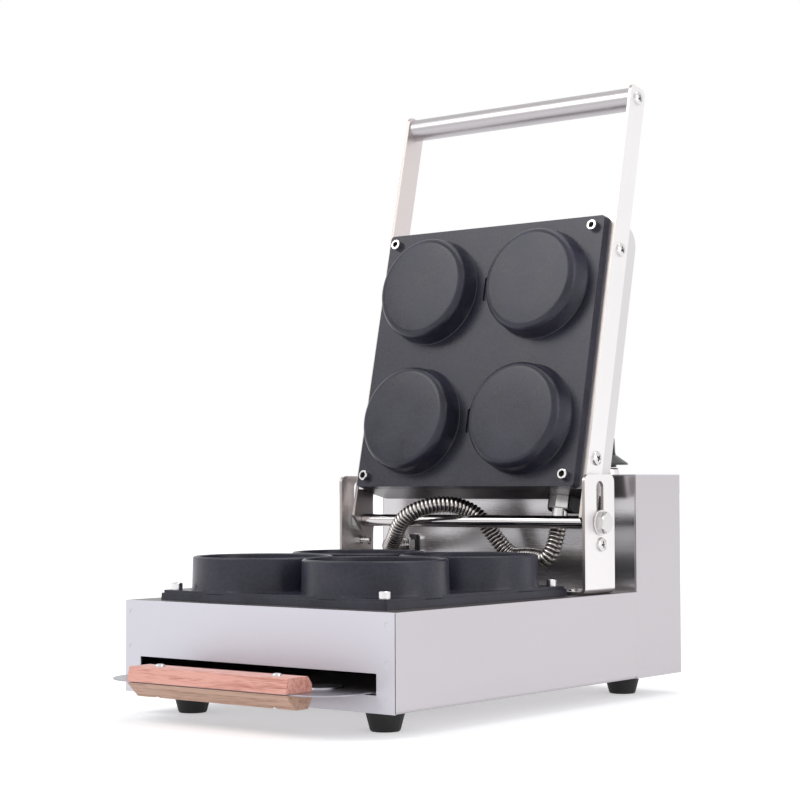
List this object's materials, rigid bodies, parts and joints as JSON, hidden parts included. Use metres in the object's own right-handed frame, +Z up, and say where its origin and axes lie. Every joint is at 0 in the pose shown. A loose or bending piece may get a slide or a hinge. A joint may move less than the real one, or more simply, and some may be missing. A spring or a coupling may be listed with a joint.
{
  "type": "pancake maker",
  "caption": "Countertop griddle with round cast cups, a lid with matching discs on a floating hinge, a rear control box and a pull-out drip tray.",
  "frame": {"origin": "on the floor under the middle of the machine's bounding box, in the pose of the picture", "axes": "+X to the machine's right, +Y to its back, +Z up"},
  "size_m": [0.3039, 0.5074, 0.5744],
  "materials": {
    "stainless": "satin, faint lavender grey",
    "arm_steel": "satin, nearly white",
    "mirror_steel": "mirror polished",
    "plated_steel": "bright plated",
    "coated_casting": "dark grey non-stick coating on cast aluminium",
    "foot_rubber": "matt black",
    "black_plastic": "black",
    "boss_metal": "satin",
    "white_nylon": "white",
    "insulation_board": "pale fibre board",
    "wood_upper": "varnished, pink red",
    "wood_lower": "varnished, tan",
    "lamp_lens": "clear red and green"
  },
  "bodies": {
    "base": {"base_shell": "stainless", "front_panel": "stainless", "deck_plate": "stainless", "rubber_feet": "foot_rubber", "foot_washers": "plated_steel", "foot_screws": "plated_steel", "base_m5_nuts": "plated_steel", "tray_runners": "plated_steel", "lower_mould_plate": "coated_casting", "lower_mould_screws": "plated_steel", "lower_mould_nuts": "plated_steel", "lower_heater": "plated_steel", "lower_heater_clamp": "plated_steel", "lower_insulation": "insulation_board", "lower_heater_studs": "plated_steel", "hinge_bracket_right": "stainless", "hinge_bracket_left": "stainless", "bracket_screws": "plated_steel", "stop_bolts": "plated_steel", "control_box_shell": "stainless", "control_box_front": "mirror_steel", "control_panel_top": "stainless", "thermostat_body": "black_plastic", "timer_body": "black_plastic", "dial_bosses": "boss_metal", "pilot_lamps": "lamp_lens", "terminal_block": "black_plastic", "cord_gland": "black_plastic", "conduit_box_flange": "black_plastic", "conduit_box_nut": "plated_steel"},
    "tray": {"tray_sheet": "stainless", "tray_grip_upper": "wood_upper", "tray_grip_lower": "wood_lower", "tray_grip_screws": "plated_steel", "tray_grip_nuts": "plated_steel"},
    "hinge_carriage": {"hinge_sleeve": "mirror_steel", "hinge_axle": "plated_steel", "hinge_axle_nut": "plated_steel", "hinge_washers": "plated_steel", "hinge_spacers": "white_nylon", "flexible_conduit": "plated_steel"},
    "lid": {"upper_mould_plate": "coated_casting", "moulding_discs": "coated_casting", "upper_mould_screws": "plated_steel", "lid_m6_nuts": "plated_steel", "upper_heater": "plated_steel", "upper_heater_clamp": "plated_steel", "upper_insulation": "insulation_board", "upper_heater_studs": "plated_steel", "lid_m5_nuts": "plated_steel", "lid_cover": "stainless", "handle_arm_left": "arm_steel", "handle_arm_right": "arm_steel", "handle_tube": "mirror_steel", "handle_plugs": "plated_steel", "arm_screws": "plated_steel", "lid_conduit_nut": "plated_steel", "lid_conduit_guard": "black_plastic"},
    "temperature_knob": {"temperature_knob": "black_plastic"},
    "timer_knob": {"timer_knob": "black_plastic"}
  },
  "joints": [
    {"name": "hinge_float", "type": "slide", "parent": "base", "child": "hinge_carriage", "axis": [0, 0, 1], "range_m": [0, 0.032], "deforming": ["flexible_conduit"]},
    {"name": "lid_hinge", "type": "hinge", "parent": "hinge_carriage", "child": "lid", "pos_m": [0, 0.10825, 0.1625], "axis": [1, 0, 0], "range_deg": [0, 102.7], "deforming": ["flexible_conduit"]},
    {"name": "tray_slide", "type": "slide", "parent": "base", "child": "tray", "axis": [0, -1, 0], "range_m": [-0.026, 0.18]},
    {"name": "temperature_knob_turn", "type": "hinge", "parent": "base", "child": "temperature_knob", "pos_m": [0.09, 0.19875, 0.225], "axis": [0, 0, 1], "range_deg": [-290, 0]},
    {"name": "timer_knob_turn", "type": "hinge", "parent": "base", "child": "timer_knob", "pos_m": [-0.09, 0.19875, 0.225], "axis": [0, 0, 1], "range_deg": [-300, 0]}
  ]
}
